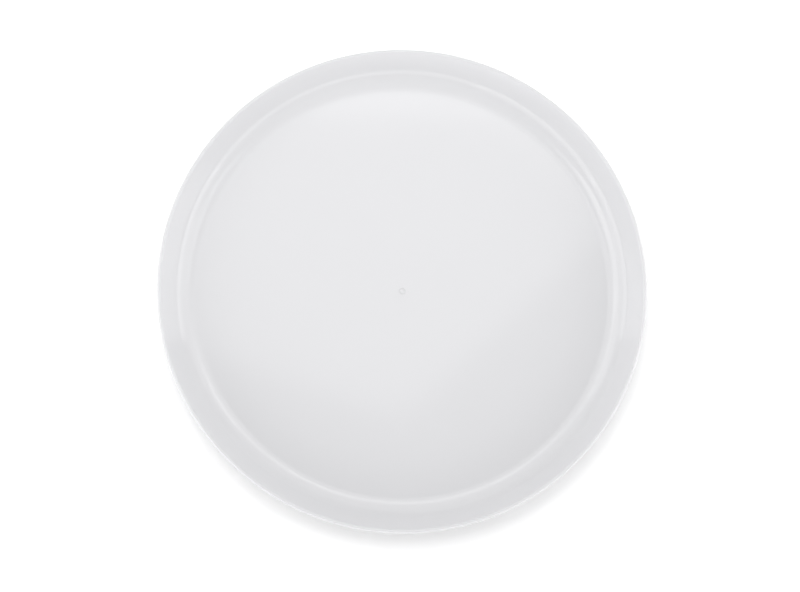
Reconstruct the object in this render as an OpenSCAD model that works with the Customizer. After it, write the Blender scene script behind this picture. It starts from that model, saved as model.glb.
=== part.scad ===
// Lazy susan turntable: a shallow round tray that turns on a ring of caged
// steel balls over a low base with rubber feet. Millimetres, +Z up, origin on
// the surface it stands on, straight under the pivot.

/* [Tray] */
// Outside diameter over the rim
tray_d = 266.7; // [262:0.1:290]
// Height from the floor up to the top of the rim
tray_depth = 15; // [10:0.5:24]
// Diameter of the flat part of the floor
floor_d = 226; // [205:1:230]
// Thickness of the floor and of the wall, which ends in a full round
wall_t = 2.3; // [1.8:0.1:3]
// Inside radius of the sweep from the floor into the flared wall
sweep_r = 14.4; // [8:0.2:16]
// Height of the ribs under the floor, beside and between the races
tray_rib_h = 1.4; // [0.8:0.1:1.6]
// Height of the stiffening ring near the edge of the floor
edge_ring_h = 2; // [1:0.2:3]
// Diameter of the moulding mark in the middle of the floor
gate_d = 3.8; // [3:0.1:6]

/* [Base] */
// Outside diameter of the base
base_d = 177; // [172:1:190]
// Thickness of the base plate
plate_t = 2.4; // [2:0.1:3]
// Height of the skirt, from its lower edge to the top of the plate
skirt_h = 6; // [5:0.2:7]
// Thickness of the skirt
skirt_t = 2.2; // [1.6:0.1:3]
// Rounding of the base's upper outside edge
base_edge_r = 1.8; // [1:0.1:2]
// Thickness of the ribs of the tray and the base
rib_t = 1.6; // [1.2:0.1:2]
// Number of radial ribs under the tray and under the base
rib_count = 12; // [6:1:18]

/* [Ball race] */
// Diameter of the balls, a quarter inch
ball_d = 6.35; // [5:0.05:7]
// Number of balls
ball_count = 12; // [6:1:16]
// Diameter of the circle through the balls' centres
race_d = 144; // [136:1:146]
// Free height over each ball and under it
race_gap = 0.12; // [0.1:0.01:0.2]
// Free width between a ball and the ribs that guide it
guide_gap = 0.22; // [0.15:0.01:0.4]
// Width of the cage's ring
cage_w = 5; // [4:0.1:6]
// Thickness of the cage's ring
cage_t = 1.6; // [1.2:0.1:2]
// Diameter of the cage's boss round each ball
boss_d = 10.5; // [9:0.1:12]
// Thickness of the bosses
boss_t = 3; // [2.4:0.1:3.2]
// Free space between a ball and its pocket
pocket_gap = 0.2; // [0.1:0.05:0.3]

/* [Pivot] */
// Diameter of the post under the tray that turns in the hub
post_d = 14; // [12:0.5:16]
// Running clearance between the post and the hub, on the radius
post_gap = 0.08; // [0.04:0.01:0.1]
// Outside diameter of the hub
hub_d = 22; // [20:0.5:26]
// Height of the hub over the base plate
hub_h = 4.4; // [3:0.1:4.6]
// Outside diameter of the retaining washer
washer_d = 20; // [18:0.5:24]
// Hole in the retaining washer
washer_hole_d = 4.6; // [4.4:0.1:5]
// Thickness of the retaining washer
washer_t = 1.2; // [0.8:0.1:1.4]
// Free height between the washer and the base plate
washer_gap = 0.2; // [0.1:0.05:0.3]
// Outside diameter of the screw's thread
screw_d = 4.2; // [3.8:0.1:4.4]
// Length of the screw under its head
screw_l = 9.6; // [8:0.2:10]
// Diameter of the screw's pan head
screw_head_d = 8; // [7:0.1:9]
// Height of the screw's pan head
screw_head_h = 2.2; // [1.8:0.1:2.4]

/* [Feet] */
// Number of rubber feet
foot_count = 6; // [4:1:8]
// Diameter of the circle through the feet's centres
foot_circle_d = 152; // [140:1:152]
// Diameter of a foot
foot_d = 12.5; // [10:0.5:14]
// How far the feet stand out under the base
foot_proud = 1.6; // [1:0.1:2.5]
// Depth of the recess that each foot is glued into
foot_recess = 1.8; // [1.2:0.1:2]

/* [Hidden] */
$fn = 96;

// Cuts run past the surface they open by this much
past = 1;
// Ribs and posts start this deep inside the plate that they stand on
embed = 0.5;

// Heights, from the table up
skirt_z = foot_proud;
plate_top = skirt_z + skirt_h;
plate_z = plate_top - plate_t;
ball_z = plate_top + race_gap + ball_d / 2;
tray_under = plate_top + 2 * race_gap + ball_d;
floor_z = tray_under + wall_t;
rim_z = floor_z + tray_depth;
post_z = plate_z - washer_gap;

// Tray section: the sweep's centre is over the floor's edge, and the wall is
// tangent to the sweep and ends in the middle of the round rim
tray_r = tray_d / 2;
floor_r = floor_d / 2;
rim_r = tray_r - wall_t / 2;
sweep_z = floor_z + sweep_r;
rim_dx = rim_r - floor_r;
rim_dz = rim_z - wall_t / 2 - sweep_z;
rim_dist = norm([rim_dx, rim_dz]);
flare = atan2(rim_dz, rim_dx) + asin((sweep_r + wall_t / 2) / rim_dist);
sweep_steps = 16;
rim_steps = 10;
edge_ring_r = floor_r - 12;
gate_depth = 0.3;
gate_nub_d = gate_d * 0.58;
gate_nub_h = 0.22;

// Race: two guide ribs on the base and two on the tray, one on each side
race_r = race_d / 2;
guide_in = ball_d / 2 + guide_gap;
guide_out = guide_in + rib_t;

// Base
base_r = base_d / 2;
base_rib_gap = 1;
base_rib_z = skirt_z + base_rib_gap;
pad_d = foot_d + 4.5;
hub_ring_r = 13;
mid_ring_r = 43;

// Screw
pilot_d = screw_d * 0.86;
root_r = screw_d * 0.36;
thread_pitch = 1.1;
thread_h = 0.8;
head_z = post_z - washer_t - screw_head_h;
shank_z = post_z - washer_t;
tip_h = 1.2;
cross_l = 4.6;
cross_w = 0.9;
cross_depth = 1.3;
thread_z = shank_z + washer_t + 0.5;
thread_turns = floor((screw_l - washer_t - tip_h - 0.5) / thread_pitch);

// Feet
foot_h = foot_proud + foot_recess;
foot_fit = 0.05;
foot_chamfer = 0.6;
dimple_d = foot_d * 0.48;
dimple_depth = 0.5;

white = [0.93, 0.93, 0.94];
base_white = [0.86, 0.87, 0.88];
cage_grey = [0.72, 0.74, 0.76];
steel = [0.62, 0.63, 0.65];
zinc = [0.75, 0.75, 0.72];
rubber = [0.25, 0.25, 0.26];

function ball_name(i) = str("ball_", i < 10 ? "0" : "", i);
function foot_name(i) = str("foot_", i);

// A flat ring round the Z axis
module ring(r_in, r_out, z, h) {
    rotate_extrude() translate([r_in, z]) square([r_out - r_in, h]);
}

// Ribs that run outwards like spokes
module spokes(r_in, r_out, z, h) {
    for (i = [0 : rib_count - 1])
        rotate([0, 0, (i + 0.5) * 360 / rib_count])
            translate([r_in, -rib_t / 2, z])
                cube([r_out - r_in, rib_t, h]);
}

// The two ribs that keep the balls on their circle
module race_guides(z, h) {
    ring(race_r - guide_out, race_r - guide_in, z, h);
    ring(race_r + guide_in, race_r + guide_out, z, h);
}

// Points along an arc, its angles counted in degrees from +X
function arc(centre, r, from, to, steps) =
    [for (i = [0 : steps])
        let (turn = from + (to - from) * i / steps)
            centre + r * [cos(turn), sin(turn)]];

// Floor, sweep, flared wall and rounded rim in one revolved section, drawn
// out along the inside, over the rim and back along the outside
module dish() {
    sweep_centre = [floor_r, sweep_z];
    rotate_extrude()
        polygon(concat(
            [[0, tray_under], [0, floor_z]],
            arc(sweep_centre, sweep_r, -90, flare - 90, sweep_steps),
            arc([rim_r, rim_z - wall_t / 2], wall_t / 2, flare + 90, flare - 90, rim_steps),
            arc(sweep_centre, sweep_r + wall_t, flare - 90, -90, sweep_steps)
        ));
}

// The disc left in the middle of the floor where the plastic was let in
module gate_mark() {
    difference() {
        translate([0, 0, floor_z - gate_depth])
            cylinder(d = gate_d, h = gate_depth + past);
        translate([0, 0, floor_z - gate_depth - past])
            cylinder(d = gate_nub_d, h = gate_nub_h + past);
    }
}

module tray() {
    rib_z = tray_under - tray_rib_h;
    rib_h = tray_rib_h + embed;
    color(white)
        difference() {
            union() {
                dish();
                race_guides(rib_z, rib_h);
                spokes(post_d / 4, race_r - guide_out + embed, rib_z, rib_h);
                spokes(race_r + guide_out - embed, edge_ring_r + embed, rib_z, rib_h);
                ring(edge_ring_r, edge_ring_r + rib_t, tray_under - edge_ring_h, edge_ring_h + embed);
                translate([0, 0, post_z])
                    cylinder(d = post_d, h = tray_under + embed - post_z);
            }
            translate([0, 0, post_z - past])
                cylinder(d = pilot_d, h = screw_l - washer_t + 0.4 + past);
            gate_mark();
        }
}

// Plate and skirt in one section, with the upper outside edge rounded
module base_section() {
    corner_r = base_r - base_edge_r;
    corner_z = plate_top - base_edge_r;
    translate([post_d / 2 + post_gap, plate_z]) square([corner_r - post_d / 2 - post_gap, plate_t]);
    translate([corner_r, corner_z])
        intersection() {
            circle(r = base_edge_r);
            square(base_edge_r);
        }
    translate([base_r - skirt_t, skirt_z]) square([skirt_t, corner_z - skirt_z]);
}

module foot_place(i) {
    rotate([0, 0, (i - 1) * 360 / foot_count])
        translate([foot_circle_d / 2, 0, 0])
            children();
}

module base() {
    rib_h = plate_z - base_rib_z + embed;
    color(base_white)
        difference() {
            union() {
                rotate_extrude() base_section();
                ring(post_d / 2 + post_gap, hub_d / 2, plate_z, plate_t + hub_h);
                race_guides(plate_top - embed, tray_rib_h + embed);
                ring(hub_ring_r, hub_ring_r + rib_t, base_rib_z, rib_h);
                ring(mid_ring_r, mid_ring_r + rib_t, base_rib_z, rib_h);
                spokes(hub_ring_r + embed, base_r - skirt_t + embed, base_rib_z, rib_h);
                for (i = [1 : foot_count])
                    foot_place(i)
                        translate([0, 0, skirt_z])
                            cylinder(d = pad_d, h = plate_z - skirt_z + embed);
            }
            for (i = [1 : foot_count])
                foot_place(i)
                    translate([0, 0, skirt_z - past])
                        cylinder(r = foot_d / 2 + foot_fit, h = foot_recess + past);
        }
}

// Rubber disc with a chamfered edge and a shallow dimple underneath
module foot(i) {
    color(rubber)
        foot_place(i)
            difference() {
                union() {
                    translate([0, 0, foot_chamfer])
                        cylinder(d = foot_d, h = foot_h - foot_chamfer);
                    cylinder(d1 = foot_d - 2 * foot_chamfer, d2 = foot_d, h = foot_chamfer);
                }
                cylinder(d1 = dimple_d, d2 = dimple_d - 2 * dimple_depth, h = 2 * dimple_depth, center = true);
            }
}

module ball_place(i) {
    turn = (i - 1) * 360 / ball_count;
    translate([race_r * cos(turn), race_r * sin(turn), ball_z])
        children();
}

module ball(i) {
    color(steel)
        ball_place(i)
            sphere(d = ball_d);
}

// Thin ring with a thicker boss and a ball pocket at each ball
module ball_cage() {
    color(cage_grey)
        difference() {
            union() {
                ring(race_r - cage_w / 2, race_r + cage_w / 2, ball_z - cage_t / 2, cage_t);
                for (i = [1 : ball_count])
                    ball_place(i)
                        cylinder(d = boss_d, h = boss_t, center = true);
            }
            for (i = [1 : ball_count])
                ball_place(i)
                    sphere(r = ball_d / 2 + pocket_gap);
        }
}

module pivot_washer() {
    color(zinc)
        ring(washer_hole_d / 2, washer_d / 2, post_z - washer_t, washer_t);
}

// Pan head with a cross recess, threaded shank and a blunt tip
module pivot_screw() {
    head_r = screw_head_d / 2;
    dome = 0.7;
    color(zinc)
        difference() {
            union() {
                translate([0, 0, head_z + dome])
                    cylinder(r = head_r, h = screw_head_h - dome);
                translate([0, 0, head_z])
                    cylinder(r1 = head_r - dome, r2 = head_r, h = dome);
                translate([0, 0, shank_z - embed])
                    cylinder(r = root_r, h = screw_l - tip_h + embed);
                translate([0, 0, shank_z + screw_l - tip_h])
                    cylinder(r1 = root_r, r2 = root_r / 3, h = tip_h);
                for (i = [0 : thread_turns - 1])
                    translate([0, 0, thread_z + i * thread_pitch])
                        rotate_extrude()
                            polygon([
                                [root_r - 0.1, 0],
                                [screw_d / 2, thread_h / 2],
                                [root_r - 0.1, thread_h]
                            ]);
            }
            for (turn = [0, 90])
                rotate([0, 0, turn])
                    translate([-cross_l / 2, -cross_w / 2, head_z - past])
                        cube([cross_l, cross_w, cross_depth + past]);
        }
}

base();
for (i = [1 : foot_count])
    foot(i);
ball_cage();
for (i = [1 : ball_count])
    ball(i);
tray();
pivot_washer();
pivot_screw();
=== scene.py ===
import bmesh
import bpy
import numpy as np
from mathutils import Matrix, Vector


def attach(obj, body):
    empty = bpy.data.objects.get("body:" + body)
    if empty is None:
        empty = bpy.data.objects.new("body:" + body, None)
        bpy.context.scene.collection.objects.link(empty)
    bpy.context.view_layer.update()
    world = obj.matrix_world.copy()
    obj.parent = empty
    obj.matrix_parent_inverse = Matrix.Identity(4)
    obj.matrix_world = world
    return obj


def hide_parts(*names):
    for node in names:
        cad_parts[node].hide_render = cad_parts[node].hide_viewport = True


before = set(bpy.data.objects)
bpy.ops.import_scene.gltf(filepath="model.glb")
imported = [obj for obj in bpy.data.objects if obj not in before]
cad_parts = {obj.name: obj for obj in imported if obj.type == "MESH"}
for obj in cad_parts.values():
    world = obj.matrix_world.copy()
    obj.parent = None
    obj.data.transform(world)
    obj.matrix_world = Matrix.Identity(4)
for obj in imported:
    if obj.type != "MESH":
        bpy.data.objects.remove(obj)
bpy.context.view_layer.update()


# ---------------------------------------------------------------------------
# Base: one low moulding of white plastic that stands still on the shelf. Its
# plate carries the ball race and the hub, a skirt closes its edge, and ribs
# and six round pads stiffen it underneath. Only its edge shows in use.
# ---------------------------------------------------------------------------

MM = 0.001
SHARP_EDGE = np.radians(35)
WELD = 0.001 * MM
FEWEST_ARC_POINTS, ARC_STEP = 5, 0.6 * MM


def rounded(corners, radii, guard=0.12 * MM):
    """An outline walked from corner to corner. Where a corner has a radius, its two straight
    lines are joined by the arc that touches both: the arc starts radius / tan(half the corner's
    angle) before the corner, and its centre lies on the corner's bisector, radius / sin(half the
    angle) away. A point just outside each end of the arc keeps the flats flat. A corner with no
    radius is one point."""
    corners = np.array(corners, float)
    outline = []
    for k, (corner, radius) in enumerate(zip(corners, radii)):
        if not radius:
            outline.append([corner])
            continue
        back = corners[k - 1] - corner
        on = corners[(k + 1) % len(corners)] - corner
        back, on = back / np.linalg.norm(back), on / np.linalg.norm(on)
        half = np.arccos(np.clip(back @ on, -1, 1)) / 2
        reach = radius / np.tan(half)
        centre = corner + (back + on) / np.linalg.norm(back + on) * radius / np.sin(half)
        spread = np.pi - 2 * half
        share = np.linspace(0, 1, FEWEST_ARC_POINTS + int(radius / ARC_STEP))[:, None]
        first, last = corner + back * reach - centre, corner + on * reach - centre
        blend = np.sin((1 - share) * spread) * first + np.sin(share * spread) * last
        arc = centre + blend / np.sin(spread)
        outline += [[corner + back * (reach + guard)], arc, [corner + on * (reach + guard)]]
    return np.vstack(outline)


def turned(outline, sides):
    """The outline's (radius, height) points carried round the Z axis: x = radius cos(turn) and
    y = radius sin(turn)."""
    turn = np.linspace(0, 2 * np.pi, sides, endpoint=False)
    radius, height = outline[:, :1], outline[:, 1:]
    return np.stack([radius * np.cos(turn), radius * np.sin(turn), height + 0 * turn], -1)


def lofted(sections):
    """Closed sections joined one to the next, with each end closed towards its middle."""
    sections = np.array(sections, float)
    ends = sections[[0, -1]].mean(1, keepdims=True) + 0 * sections[[0, -1]]
    return np.concatenate([ends[:1], sections, ends[1:]])


def around(points, count, first=0.0):
    """The same points turned to count places round the Z axis, evenly from the angle first."""
    places = []
    for turn in first + 2 * np.pi * np.arange(count) / count:
        c, s = np.cos(turn), np.sin(turn)
        places.append(points @ np.array([[c, s, 0], [-s, c, 0], [0, 0, 1]]))
    return places


def solid(name, *grids, closed=False):
    """One mesh from grids of points. Each cell of a grid is a face, columns wrap round, and rows
    wrap round too when closed. Points that meet, such as those of a pole, are welded, and all
    faces are turned outwards."""
    corners, faces, start = [], [], 0
    for grid in grids:
        rows, columns = grid.shape[:2]
        row = np.arange(rows if closed else rows - 1)[:, None]
        column = np.arange(columns)
        here, after = row * columns, (row + 1) % rows * columns
        beside = (column + 1) % columns
        cell = [here + column, after + column, after + beside, here + beside]
        faces.append(start + np.stack(cell, -1).reshape(-1, 4))
        corners.append(grid.reshape(-1, 3))
        start += rows * columns
    mesh = bpy.data.meshes.new(name)
    mesh.from_pydata(np.vstack(corners).tolist(), [], np.vstack(faces).tolist())
    shape = bmesh.new()
    shape.from_mesh(mesh)
    bmesh.ops.remove_doubles(shape, verts=shape.verts, dist=WELD)
    bmesh.ops.recalc_face_normals(shape, faces=shape.faces)
    shape.to_mesh(mesh)
    shape.free()
    mesh.set_sharp_from_angle(angle=SHARP_EDGE)
    piece = bpy.data.objects.new(name, mesh)
    bpy.context.scene.collection.objects.link(piece)
    return piece


def worked(piece, tool, operation):
    """The piece with the tool's shape joined to it or cut out of it, and the tool thrown away."""
    step = piece.modifiers.new("work", "BOOLEAN")
    step.operation, step.solver, step.object = operation, "MANIFOLD", tool
    bpy.context.view_layer.update()
    result = piece.evaluated_get(bpy.context.evaluated_depsgraph_get())
    made = bpy.data.meshes.new_from_object(result)
    piece.modifiers.clear()
    piece.data = made
    made.set_sharp_from_angle(angle=SHARP_EDGE)
    bpy.data.objects.remove(tool)
    return piece


def spoke(r_in, r_out, z_low, z_high):
    """A straight rib along +X with its two lower edges rounded."""
    half = RIB_T / 2
    section = rounded([(-half, z_low), (half, z_low), (half, z_high), (-half, z_high)],
                      [EDGE_R, EDGE_R, 0, 0])
    return lofted([np.insert(section, 0, r, axis=1) for r in (r_in, r_out)])


def placed(piece, body, slot, material, *nodes):
    """The finished piece gets its material, rides on its body and stands for its CAD nodes."""
    piece.data.materials.clear()
    piece.data.materials.append(material)
    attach(piece, body)
    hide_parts(*nodes)
    return piece


def moulded_skin():
    """The skin of any moulded piece: a slow drift of tone, a fine grain, and the faint waves that
    cooling leaves. Colour and Roughness drift by their Spread; Height is in metres, from Grain
    and Waves."""
    group = bpy.data.node_groups.new("Moulded skin", "ShaderNodeTree")
    sockets = [("Colour", "INPUT", "NodeSocketColor"), ("Tone Spread", "INPUT", "NodeSocketFloat"),
               ("Roughness", "INPUT", "NodeSocketFloat"),
               ("Roughness Spread", "INPUT", "NodeSocketFloat"),
               ("Grain Size", "INPUT", "NodeSocketFloat"),
               ("Grain Height", "INPUT", "NodeSocketFloat"),
               ("Wave Height", "INPUT", "NodeSocketFloat"),
               ("Colour", "OUTPUT", "NodeSocketColor"),
               ("Roughness", "OUTPUT", "NodeSocketFloat"), ("Height", "OUTPUT", "NodeSocketFloat")]
    for name, way, kind in sockets:
        group.interface.new_socket(name=name, in_out=way, socket_type=kind)
    new, link = group.nodes.new, group.links.new
    inside, out = new("NodeGroupInput"), new("NodeGroupOutput")
    place = new("ShaderNodeTexCoord").outputs["Object"]

    def set_or_link(value, socket):
        if isinstance(value, float):
            socket.default_value = value
        else:
            link(value, socket)

    def noise(scale, detail):
        texture = new("ShaderNodeTexNoise")
        link(place, texture.inputs["Vector"])
        set_or_link(scale, texture.inputs["Scale"])
        texture.inputs["Detail"].default_value = detail
        return texture.outputs["Fac"]

    def reckoned(operation, *values):
        step = new("ShaderNodeMath")
        step.operation = operation
        for socket, value in zip(step.inputs, values):
            set_or_link(value, socket)
        return step.outputs[0]

    drift = reckoned("SUBTRACT", noise(scale=22.0, detail=3.0), 0.5)
    handling = reckoned("SUBTRACT", noise(scale=70.0, detail=5.0), 0.5)
    grains_per_metre = reckoned("DIVIDE", 1.0, inside.outputs["Grain Size"])
    grain = noise(scale=grains_per_metre, detail=2.0)
    tone = new("ShaderNodeHueSaturation")
    link(inside.outputs["Colour"], tone.inputs["Color"])
    link(reckoned("MULTIPLY_ADD", drift, inside.outputs["Tone Spread"], 1.0),
         tone.inputs["Value"])
    link(tone.outputs["Color"], out.inputs["Colour"])
    link(reckoned("MULTIPLY_ADD", handling, inside.outputs["Roughness Spread"],
                  inside.outputs["Roughness"]), out.inputs["Roughness"])
    waves = reckoned("MULTIPLY", noise(scale=14.0, detail=1.0), inside.outputs["Wave Height"])
    link(reckoned("MULTIPLY_ADD", grain, inside.outputs["Grain Height"], waves),
         out.inputs["Height"])
    return group


MOULDED_SKIN = moulded_skin()


def moulded(name, colour, roughness, grain_size, grain_height, tone_spread=0.04,
            roughness_spread=0.08, wave_height=0.0, ior=1.49):
    """A plastic or rubber with the moulded skin, whose height moves the surface's normal."""
    material = bpy.data.materials.new(name)
    material.use_nodes = True
    nodes, link = material.node_tree.nodes, material.node_tree.links.new
    shader = nodes["Principled BSDF"]
    skin = nodes.new("ShaderNodeGroup")
    skin.node_tree = MOULDED_SKIN
    skin.inputs["Colour"].default_value = (*colour, 1)
    skin.inputs["Tone Spread"].default_value = tone_spread
    skin.inputs["Roughness"].default_value = roughness
    skin.inputs["Roughness Spread"].default_value = roughness_spread
    skin.inputs["Grain Size"].default_value = grain_size
    skin.inputs["Grain Height"].default_value = grain_height
    skin.inputs["Wave Height"].default_value = wave_height
    relief = nodes.new("ShaderNodeBump")
    relief.inputs["Distance"].default_value = 1.0
    shader.inputs["IOR"].default_value = ior
    link(skin.outputs["Colour"], shader.inputs["Base Color"])
    link(skin.outputs["Roughness"], shader.inputs["Roughness"])
    link(skin.outputs["Height"], relief.inputs["Height"])
    link(relief.outputs["Normal"], shader.inputs["Normal"])
    return material


FOOT_PROUD = 1.6 * MM
SKIRT_H, SKIRT_T = 6 * MM, 2.2 * MM
PLATE_T = 2.4 * MM
BASE_R = 88.5 * MM
BASE_EDGE_R = 1.8 * MM
RIB_T, RIB_COUNT = 1.6 * MM, 12
EDGE_R = 0.3 * MM
SUNK = 0.5 * MM
ROOT_LIFT = 0.02 * MM
POST_R, POST_GAP = 7 * MM, 0.08 * MM
HUB_BORE_R, HUB_R, HUB_H = POST_R + POST_GAP, 11 * MM, 4.4 * MM
BALL_R = 3.175 * MM
RACE_R = 72 * MM
GUIDE_IN = BALL_R + 0.22 * MM
GUIDE_OUT = GUIDE_IN + RIB_T
GUIDE_H = 1.4 * MM
PLATE_TOP = FOOT_PROUD + SKIRT_H
PLATE_Z = PLATE_TOP - PLATE_T
HUB_TOP = PLATE_TOP + HUB_H
RIB_Z = FOOT_PROUD + 1 * MM
HUB_RING_R, MID_RING_R = 13 * MM, 43 * MM
FOOT_R, FOOT_RING_R, FOOT_COUNT = 6.25 * MM, 76 * MM, 6
GLUE_GAP, FOOT_RECESS = 0.05 * MM, 1.8 * MM
RECESS_R, FOOT_TOP = FOOT_R + GLUE_GAP, FOOT_PROUD + FOOT_RECESS
PAD_R = FOOT_R + 2.25 * MM


def raised(r_in, r_out, flat, top):
    """The four corners of a ring that stands out of a flat, walked outwards, or inwards if r_in
    is the larger."""
    return [(r_in, flat), (r_in, top), (r_out, top), (r_out, flat)]


base_outline = rounded(
    [(HUB_BORE_R, PLATE_Z), (HUB_BORE_R, HUB_TOP), (HUB_R, HUB_TOP), (HUB_R, PLATE_TOP)]
    + raised(RACE_R - GUIDE_OUT, RACE_R - GUIDE_IN, PLATE_TOP, PLATE_TOP + GUIDE_H)
    + raised(RACE_R + GUIDE_IN, RACE_R + GUIDE_OUT, PLATE_TOP, PLATE_TOP + GUIDE_H)
    + [(BASE_R, PLATE_TOP), (BASE_R, FOOT_PROUD)]
    + [(BASE_R - SKIRT_T, FOOT_PROUD), (BASE_R - SKIRT_T, PLATE_Z)]
    + raised(MID_RING_R + RIB_T, MID_RING_R, PLATE_Z, RIB_Z)
    + raised(HUB_RING_R + RIB_T, HUB_RING_R, PLATE_Z, RIB_Z),
    [EDGE_R] * 12 + [BASE_EDGE_R] + [EDGE_R] * 11)
base_spoke = spoke(HUB_RING_R + SUNK, BASE_R - SKIRT_T + SUNK, RIB_Z + ROOT_LIFT, PLATE_Z + SUNK)
pad_outline = rounded(
    [(0, PLATE_Z + SUNK), (PAD_R, PLATE_Z + SUNK), (PAD_R, FOOT_PROUD), (0, FOOT_PROUD)],
    [0, 0, EDGE_R, 0])
recess_outline = np.array([(0, FOOT_TOP), (RECESS_R, FOOT_TOP), (RECESS_R, 0), (0, 0)])
at_foot = np.array([FOOT_RING_R, 0, 0])
pad = turned(pad_outline, sides=48) + at_foot
recess = turned(recess_outline, sides=48) + at_foot
half_rib = np.pi / RIB_COUNT

base = solid("base_moulding", turned(base_outline, sides=240), closed=True)
worked(base, solid("ribs", *around(base_spoke, RIB_COUNT, half_rib)), "UNION")
worked(base, solid("pads", *around(pad, FOOT_COUNT)), "UNION")
worked(base, solid("recesses", *around(recess, FOOT_COUNT)), "DIFFERENCE")
BASE_PLASTIC = moulded("Base plastic", (0.70, 0.70, 0.71), roughness=0.42, grain_size=0.6 * MM,
                       grain_height=0.012 * MM, tone_spread=0.03)
placed(base, "base", "base_plastic", BASE_PLASTIC, "base")


# ---------------------------------------------------------------------------
# Feet: six discs of soft dark rubber, each with a shallow dimple that grips
# the shelf. They are glued into the recesses of the base's pads.
# ---------------------------------------------------------------------------

FOOT_CHAMFER, FOOT_EDGE_R, FOOT_BACK_EDGE_R = 0.6 * MM, 0.2 * MM, 0.15 * MM
DIMPLE_R, DIMPLE_DEPTH = 3 * MM, 0.5 * MM

foot_outline = rounded(
    [(0, DIMPLE_DEPTH), (DIMPLE_R - DIMPLE_DEPTH, DIMPLE_DEPTH), (DIMPLE_R, 0),
     (FOOT_R - FOOT_CHAMFER, 0), (FOOT_R, FOOT_CHAMFER), (FOOT_R, FOOT_TOP), (0, FOOT_TOP)],
    [0, *[FOOT_EDGE_R] * 4, FOOT_BACK_EDGE_R, 0], guard=0.05 * MM)
foot = turned(foot_outline, sides=56) + at_foot
RUBBER = moulded("Foot rubber", (0.035, 0.035, 0.037), roughness=0.72, grain_size=0.35 * MM,
                 grain_height=0.03 * MM, tone_spread=0.25, ior=1.52)
for number, grid in enumerate(around(foot, FOOT_COUNT), 1):
    placed(solid(f"rubber_foot_{number}", grid), "base", "foot_rubber", RUBBER, f"foot_{number}")


# ---------------------------------------------------------------------------
# Ball cage: a thin ring of natural plastic that floats between tray and base.
# Each ball snaps into a round pocket in a thicker boss, so the balls stay
# evenly apart as they roll.
# ---------------------------------------------------------------------------

BALL_COUNT = 12
RACE_GAP = 0.12 * MM
BALL_Z = PLATE_TOP + RACE_GAP + BALL_R
CAGE_W, CAGE_T = 5 * MM, 1.6 * MM
CAGE_IN, CAGE_OUT = RACE_R - CAGE_W / 2, RACE_R + CAGE_W / 2
CAGE_LOW, CAGE_HIGH = BALL_Z - CAGE_T / 2, BALL_Z + CAGE_T / 2
BOSS_R, BOSS_T = 5.25 * MM, 3 * MM
BOSS_LOW, BOSS_HIGH = BALL_Z - BOSS_T / 2, BALL_Z + BOSS_T / 2
POCKET_R = BALL_R + 0.2 * MM


def ball_surface(radius, rings, sides):
    """A sphere round an axis along X: x = radius cos(polar angle), and circles of radius
    sin(polar angle)."""
    polar = np.linspace(0, np.pi, rings)
    half_circle = radius * np.stack([np.sin(polar), np.cos(polar)], -1)
    return turned(half_circle, sides)[..., [2, 0, 1]]


cage_outline = rounded(
    [(CAGE_IN, CAGE_LOW), (CAGE_IN, CAGE_HIGH), (CAGE_OUT, CAGE_HIGH), (CAGE_OUT, CAGE_LOW)],
    [EDGE_R] * 4)
boss_outline = rounded(
    [(0, BOSS_HIGH), (BOSS_R, BOSS_HIGH), (BOSS_R, BOSS_LOW), (0, BOSS_LOW)],
    [0, EDGE_R, EDGE_R, 0])
boss = turned(boss_outline, sides=64) + np.array([RACE_R, 0, 0])
at_ball = np.array([RACE_R, 0, BALL_Z])
pocket = ball_surface(POCKET_R, rings=33, sides=64) + at_ball

cage = solid("cage_ring", turned(cage_outline, sides=240), closed=True)
worked(cage, solid("bosses", *around(boss, BALL_COUNT)), "UNION")
worked(cage, solid("pockets", *around(pocket, BALL_COUNT)), "DIFFERENCE")
CAGE_PLASTIC = moulded("Cage plastic", (0.66, 0.66, 0.63), roughness=0.45, grain_size=0.4 * MM,
                       grain_height=0.01 * MM)
placed(cage, "cage", "cage_plastic", CAGE_PLASTIC, "ball_cage")


# ---------------------------------------------------------------------------
# Balls: twelve quarter-inch balls of polished bearing steel. They roll
# between the base and the tray, each about its own outward axis.
# ---------------------------------------------------------------------------

DARKEST_TONE = 0.88


def metal(name, colour, roughness, streak_scale, smudge):
    """A bare or plated metal whose gloss and tone drift with a noise that streak_scale stretches
    along X, Y and Z."""
    material = bpy.data.materials.new(name)
    material.use_nodes = True
    nodes, link = material.node_tree.nodes, material.node_tree.links.new
    shader = nodes["Principled BSDF"]
    shader.inputs["Metallic"].default_value = 1.0
    place = nodes.new("ShaderNodeTexCoord")
    stretch = nodes.new("ShaderNodeMapping")
    stretch.inputs["Scale"].default_value = streak_scale
    texture = nodes.new("ShaderNodeTexNoise")
    texture.inputs["Scale"].default_value = 1.0
    texture.inputs["Detail"].default_value = 4.0
    gloss = nodes.new("ShaderNodeMapRange")
    gloss.inputs["To Min"].default_value = roughness - smudge
    gloss.inputs["To Max"].default_value = roughness + smudge
    tone = nodes.new("ShaderNodeValToRGB")
    tone.color_ramp.elements[0].color = (*(DARKEST_TONE * np.array(colour)), 1)
    tone.color_ramp.elements[1].color = (*colour, 1)
    link(place.outputs["Object"], stretch.inputs["Vector"])
    link(stretch.outputs["Vector"], texture.inputs["Vector"])
    link(texture.outputs["Fac"], gloss.inputs["Value"])
    link(texture.outputs["Fac"], tone.inputs["Fac"])
    link(gloss.outputs["Result"], shader.inputs["Roughness"])
    link(tone.outputs["Color"], shader.inputs["Base Color"])
    return material


BALL_STEEL = metal("Ball steel", (0.62, 0.62, 0.63), roughness=0.12,
                   streak_scale=(300, 300, 300), smudge=0.05)
ball = ball_surface(BALL_R, rings=25, sides=48) + at_ball
for number, grid in enumerate(around(ball, BALL_COUNT), 1):
    node = f"ball_{number:02d}"
    placed(solid(f"steel_{node}", grid), node, "ball_steel", BALL_STEEL, node)


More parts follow.
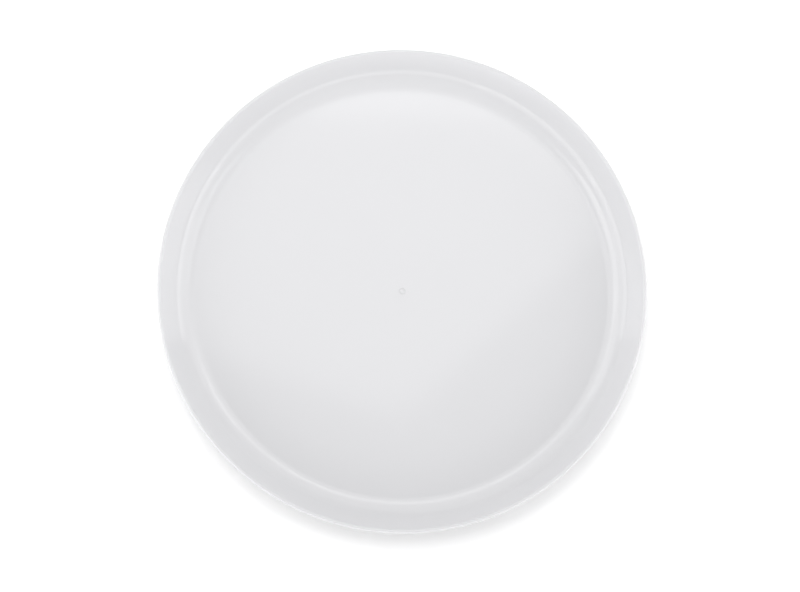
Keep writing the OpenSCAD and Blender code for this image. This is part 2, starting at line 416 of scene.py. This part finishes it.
# ---------------------------------------------------------------------------
# Tray: one injection moulding of white plastic with a soft gloss. A sweep
# leads its flat floor, with the gate mark in the middle, into the flared wall
# and its full round. Underneath are ribs, the race's guides and the post.
# ---------------------------------------------------------------------------

TRAY_R = 133.35 * MM
TRAY_DEPTH = 15 * MM
FLOOR_R = 113 * MM
WALL_T = 2.3 * MM
SWEEP_R = 14.4 * MM
EDGE_RING_R, EDGE_RING_H = FLOOR_R - 12 * MM, 2 * MM
GATE_R, GATE_DEPTH = 1.9 * MM, 0.3 * MM
GATE_NUB_R, GATE_NUB_H = 1.1 * MM, 0.22 * MM
PILOT_R, PILOT_H = 1.806 * MM, 8.8 * MM
POST_PROUD = 0.2 * MM
TRAY_UNDER = BALL_Z + BALL_R + RACE_GAP
FLOOR_Z = TRAY_UNDER + WALL_T
RIM_Z = FLOOR_Z + TRAY_DEPTH
GATE_Z = FLOOR_Z - GATE_DEPTH
POST_Z = PLATE_Z - POST_PROUD
GUIDE_Z = TRAY_UNDER - GUIDE_H

rim_centre = np.array([TRAY_R - WALL_T / 2, RIM_Z - WALL_T / 2])
sweep_centre = np.array([FLOOR_R, FLOOR_Z + SWEEP_R])
to_rim = rim_centre - sweep_centre
wall_turn = np.arcsin((SWEEP_R + WALL_T / 2) / np.linalg.norm(to_rim))
flare = np.arctan2(to_rim[1], to_rim[0]) + wall_turn


def arc(centre, radius, start, end, steps):
    """Points of a circle, centre + radius (cos, sin), from one angle to the other."""
    turn = np.linspace(start, end, steps)
    return centre + radius * np.stack([np.cos(turn), np.sin(turn)], -1)


gate_outline = rounded(
    [(0, GATE_Z + GATE_NUB_H), (GATE_NUB_R, GATE_Z + GATE_NUB_H), (GATE_NUB_R, GATE_Z),
     (GATE_R, GATE_Z), (GATE_R, FLOOR_Z), (FLOOR_R / 8, FLOOR_Z)],
    [0, 0.1 * MM, 0.06 * MM, 0.06 * MM, 0.12 * MM, 0], guard=0.04 * MM)
floor_share = np.array([0.3, 0.6, 0.9, 0.99])
floor_outline = np.stack([FLOOR_R * floor_share, np.full(len(floor_share), FLOOR_Z)], -1)
wall_share = np.array([0.03, 0.33, 0.66, 0.97])[:, None]
sweep_in = arc(sweep_centre, SWEEP_R, -np.pi / 2, flare - np.pi / 2, steps=33)
rim_round = arc(rim_centre, WALL_T / 2, flare + np.pi / 2, flare - np.pi / 2, steps=17)
sweep_out = arc(sweep_centre, SWEEP_R + WALL_T, flare - np.pi / 2, -np.pi / 2, steps=25)
wall_in = sweep_in[-1] + wall_share * (rim_round[0] - sweep_in[-1])
wall_out = rim_round[-1] + wall_share * (sweep_out[0] - rim_round[-1])
under_outline = rounded(
    [tuple(sweep_out[-1])]
    + raised(EDGE_RING_R + RIB_T, EDGE_RING_R, TRAY_UNDER, TRAY_UNDER - EDGE_RING_H)
    + raised(RACE_R + GUIDE_OUT, RACE_R + GUIDE_IN, TRAY_UNDER, GUIDE_Z)
    + raised(RACE_R - GUIDE_IN, RACE_R - GUIDE_OUT, TRAY_UNDER, GUIDE_Z)
    + [(POST_R, TRAY_UNDER), (POST_R, POST_Z), (PILOT_R, POST_Z), (PILOT_R, POST_Z + PILOT_H)]
    + [(0, POST_Z + PILOT_H)],
    [0] + [EDGE_R] * 16 + [0])
tray_outline = np.vstack([gate_outline, floor_outline, sweep_in, wall_in, rim_round, wall_out,
                          sweep_out[:-1], under_outline])
inner_spoke = spoke(POST_R / 2, RACE_R - GUIDE_OUT + SUNK,
                    GUIDE_Z + ROOT_LIFT, TRAY_UNDER + SUNK)
outer_spoke = spoke(RACE_R + GUIDE_OUT - SUNK, EDGE_RING_R + SUNK,
                    GUIDE_Z + ROOT_LIFT, TRAY_UNDER + SUNK)

tray = solid("tray_moulding", turned(tray_outline, sides=288))
worked(tray, solid("ribs", *around(outer_spoke, RIB_COUNT, half_rib)), "UNION")
for rib in around(inner_spoke, RIB_COUNT, half_rib):
    worked(tray, solid("rib", rib), "UNION")
TRAY_PLASTIC = moulded("Tray plastic", (0.66, 0.66, 0.674), roughness=0.085,
                       grain_size=1.6 * MM, grain_height=0.0008 * MM, tone_spread=0.012,
                       roughness_spread=0.03, wave_height=0.01 * MM)
placed(tray, "tray", "tray_plastic", TRAY_PLASTIC, "tray")


# ---------------------------------------------------------------------------
# Washer and screw: a zinc-plated steel washer under the base's plate and a
# pan-head screw, driven from below into the tray's post. They keep the tray
# on its base when it is lifted.
# ---------------------------------------------------------------------------

WASHER_R, WASHER_HOLE_R, WASHER_T = 10 * MM, 2.3 * MM, 1.2 * MM
HEAD_R, HEAD_H = 4 * MM, 2.2 * MM
HEAD_FLAT_R, HEAD_SIDE_H = HEAD_R * 0.8, HEAD_H * 0.45
SCREW_R, ROOT_R, SCREW_L = 2.1 * MM, 1.512 * MM, 9.6 * MM
TIP_H, THREAD_PITCH, THREAD_RUNOUT = 1.2 * MM, 1.1 * MM, 0.2 * MM
RIDGE_HALF_WIDTH, RIDGE_POWER = 0.36, 0.9
CROSS_L, CROSS_W, CROSS_DEPTH = 4.6 * MM, 0.9 * MM, 1.3 * MM
CROSS_MOUTH, CROSS_BOTTOM = 1.12, 0.62
SHANK_Z = POST_Z - WASHER_T
HEAD_Z = SHANK_Z - HEAD_H
SCREW_END = SHANK_Z + SCREW_L
SHANK_ROWS = 120

ZINC = metal("Zinc plate", (0.62, 0.62, 0.60), roughness=0.34, streak_scale=(900, 250, 900),
             smudge=0.1)
washer_outline = rounded(
    [(WASHER_HOLE_R, SHANK_Z), (WASHER_HOLE_R, POST_Z), (WASHER_R, POST_Z), (WASHER_R, SHANK_Z)],
    [0.12 * MM, 0.12 * MM, 0.25 * MM, 0.12 * MM])
washer = solid("washer", turned(washer_outline, sides=72), closed=True)
placed(washer, "tray", "plated_steel", ZINC, "pivot_washer")

head_outline = rounded(
    [(0, HEAD_Z), (HEAD_FLAT_R, HEAD_Z), (HEAD_R, HEAD_Z + HEAD_SIDE_H), (HEAD_R, SHANK_Z),
     (ROOT_R, SHANK_Z)],
    [0, 0.9 * MM, 0.4 * MM, 0.1 * MM, 0.1 * MM], guard=0.02 * MM)
shank_z = np.linspace(SHANK_Z + THREAD_RUNOUT, SCREW_END - TIP_H, SHANK_ROWS)
shank_outline = np.stack([np.full(SHANK_ROWS, ROOT_R), shank_z], -1)
tip_outline = np.array([(ROOT_R / 3, SCREW_END), (0, SCREW_END)])
screw_outline = np.vstack([head_outline[:-1], shank_outline, tip_outline])


def threaded(grid, heights, first, last):
    """The grid pushed outwards where the thread runs. The thread is a ridge in the share of a
    turn, (height / pitch - angle / full turn), by which a point lies past the groove, and it
    fades in and out at its ends."""
    turn = np.linspace(0, 1, grid.shape[1], endpoint=False)
    past_groove = (heights / THREAD_PITCH - turn) % 1
    ridge = np.clip(1 - np.abs(past_groove - 0.5) / RIDGE_HALF_WIDTH, 0, 1) ** RIDGE_POWER
    fade_in = np.clip((heights - first) / THREAD_PITCH, 0, 1)
    fade_out = np.clip((last - heights) / THREAD_PITCH, 0, 1)
    growth = 1 + ridge * (fade_in * fade_out) * (SCREW_R / ROOT_R - 1)
    return grid * np.stack([growth, growth, np.ones_like(growth)], -1)


screw_grid = threaded(turned(screw_outline, sides=48), screw_outline[:, 1:],
                      POST_Z + THREAD_RUNOUT, SCREW_END - TIP_H)
screw = solid("pan_head_screw", screw_grid)
for turn in (0, np.pi / 2):
    c, s = np.cos(turn), np.sin(turn)
    sections = []
    for z, taper in ((HEAD_Z - SUNK, CROSS_MOUTH), (HEAD_Z + CROSS_DEPTH, CROSS_BOTTOM)):
        x, y = taper * CROSS_L / 2, taper * CROSS_W / 2
        slot_corners = ((x, y), (-x, y), (-x, -y), (x, -y))
        sections.append([(c * u - s * v, s * u + c * v, z) for u, v in slot_corners])
    worked(screw, solid("driver", lofted(sections)), "DIFFERENCE")
placed(screw, "tray", "plated_steel", ZINC, "pivot_screw")


# ---------------------------------------------------------------------------
# Studio: a white paper floor in a white room. Two soft square lights hang
# beyond the tray, softer panels stand left and right, a low white band closes
# the near side, and the camera looks down from nearly overhead.
# ---------------------------------------------------------------------------

FLOOR_HALF = 6.0
PAPER_WHITE = 0.94
ROOM_LIGHT = 0.42

bpy.context.scene.view_settings.view_transform = "Standard"
floor_corners = [(-FLOOR_HALF, -FLOOR_HALF, 0), (FLOOR_HALF, -FLOOR_HALF, 0),
                 (FLOOR_HALF, FLOOR_HALF, 0), (-FLOOR_HALF, FLOOR_HALF, 0)]
floor_mesh = bpy.data.meshes.new("studio_floor")
floor_mesh.from_pydata(floor_corners, [], [(0, 1, 2, 3)])
studio_floor = bpy.data.objects.new("studio_floor", floor_mesh)
bpy.context.scene.collection.objects.link(studio_floor)
floor_paper = bpy.data.materials.new("Floor paper")
floor_paper.use_nodes = True
paper = floor_paper.node_tree.nodes["Principled BSDF"]
paper.inputs["Base Color"].default_value = (PAPER_WHITE, PAPER_WHITE, PAPER_WHITE, 1)
paper.inputs["Roughness"].default_value = 0.9
paper.inputs["Specular IOR Level"].default_value = 0.1
studio_floor.data.materials.append(floor_paper)

world = bpy.data.worlds.new("White room")
world.use_nodes = True
world.node_tree.nodes["Background"].inputs["Color"].default_value = (1, 1, 1, 1)
world.node_tree.nodes["Background"].inputs["Strength"].default_value = ROOM_LIGHT
bpy.context.scene.world = world


def soft_panel(name, centre, edge, toward, size, radiance):
    """A rectangular soft light, given by its centre, the direction of its first side and the way
    it faces. Its power is pi times its area times its radiance."""
    facing = toward / np.linalg.norm(toward)
    side = edge - facing * (edge @ facing)
    side /= np.linalg.norm(side)
    data = bpy.data.lights.new(name, "AREA")
    data.shape, data.size, data.size_y = "RECTANGLE", *size
    data.energy = np.pi * size[0] * size[1] * radiance
    light = bpy.data.objects.new(name, data)
    turn = np.stack([side, np.cross(-facing, side), -facing, centre], -1)
    light.matrix_world = Matrix([*turn.tolist(), (0, 0, 0, 1)])
    light.visible_camera = False
    bpy.context.scene.collection.objects.link(light)
    return light


# The two key lights are squares that stand on one corner. They share that corner, which hangs
# over the tray, and both sides, which fall away beyond it to the left and to the right. The
# smaller one hangs just in front.
KEY_CORNER = np.array([0.040, 0.060, 1.2])
KEY_LEFT, KEY_RIGHT = np.array([-0.780, 0.177, -0.601]), np.array([0.598, 0.498, -0.628])
key_facing = np.cross(KEY_LEFT, KEY_RIGHT)
for name, side, gap, radiance in (("wide_key", 0.9, 0.0, 0.58), ("core_key", 0.6, 5 * MM, 0.47)):
    key_centre = KEY_CORNER + (KEY_LEFT + KEY_RIGHT) * side / 2 + key_facing * gap
    soft_panel(name, key_centre, KEY_LEFT, key_facing, (side, side), radiance)

# The others face the middle of the tray's floor. Each has an azimuth from +X, an angle from
# straight up, a width and height, and a radiance.
PANEL_DISTANCE = 1.15
WALL_ZENITH, WALL_W, WALL_H = 74, 0.95, 0.8
LOW_WALL_ZENITH, LOW_WALL_H = 81, 0.65
WALL_LIGHT = ((180, 0.88), (225, 0.79), (360, 0.88))
LOW_WALL_LIGHT = ((180, 0.85), (225, 1.0), (270, 1.45), (315, 1.4), (360, 1.3))
tray_floor_centre = np.array([0, 0, FLOOR_Z])
panels = [("left_panel", 165, 40, 0.8, 0.7, 1.07), ("left_spot", 180, 30, 0.5, 0.5, 1.2),
          ("right_panel", 15, 40, 0.8, 0.7, 1.0), ("right_spot", 0, 28, 0.4, 0.4, 0.7),
          ("right_wall_panel", -15, 62, 1.0, 0.8, 0.34),
          ("far_left_strip", 130, 26, 0.35, 0.3, 0.45), ("far_strip", 90, 25, 0.4, 0.25, 1.5),
          ("far_right_strip", 50, 26, 0.35, 0.3, 0.95)]
panels += [(f"wall_{azimuth}", azimuth, WALL_ZENITH, WALL_W, WALL_H, radiance)
           for azimuth, radiance in WALL_LIGHT]
panels += [(f"low_wall_{azimuth}", azimuth, LOW_WALL_ZENITH, WALL_W, LOW_WALL_H, radiance)
           for azimuth, radiance in LOW_WALL_LIGHT]
for name, azimuth, zenith, width, height, radiance in panels:
    a, z = np.radians(azimuth), np.radians(zenith)
    way = np.array([np.cos(a) * np.sin(z), np.sin(a) * np.sin(z), np.cos(z)])
    level_edge = np.array([-np.sin(a), np.cos(a), 0])
    soft_panel(name, tray_floor_centre + way * PANEL_DISTANCE, level_edge, -way, (width, height),
               radiance)

# One more soft light hangs overhead and lights only the paper, so the tray's shadow is crisp
# where it meets the rim.
PAPER_LIGHT_AT, PAPER_LIGHT_WAY = np.array([-0.09, 0.08, 1.2]), np.array([0.07, -0.06, -1.0])
paper_light = soft_panel("paper_light", PAPER_LIGHT_AT, np.array([1.0, 0, 0]), PAPER_LIGHT_WAY,
                         (0.3, 0.3), 9.0)
only_paper = bpy.data.collections.new("Lit by the paper light")
only_paper.objects.link(studio_floor)
paper_light.light_linking.receiver_collection = only_paper

CAMERA_DISTANCE = 1.2
CAMERA_ELEVATION = 80.5
CAMERA_AZIMUTH = -11.5
FOCAL_LENGTH = 99.3
AIM_OFFSET = (-1.6 * MM, -4.85 * MM)

a, e = np.radians(CAMERA_AZIMUTH), np.radians(CAMERA_ELEVATION)
back = Vector((np.sin(a) * np.cos(e), -np.cos(a) * np.cos(e), np.sin(e)))
right = Vector((0, 1, 0)).cross(back).normalized()
up = back.cross(right)
place = Vector((0, 0, RIM_Z)) + back * CAMERA_DISTANCE + right * AIM_OFFSET[0] + up * AIM_OFFSET[1]
camera_data = bpy.data.cameras.new("camera")
camera_data.lens = FOCAL_LENGTH
camera_data.clip_start, camera_data.clip_end = 0.01, 50
camera = bpy.data.objects.new("camera", camera_data)
camera_rows = [(right[k], up[k], back[k], place[k]) for k in range(3)]
camera.matrix_world = Matrix(camera_rows + [(0, 0, 0, 1)])
bpy.context.scene.collection.objects.link(camera)
bpy.context.scene.camera = camera
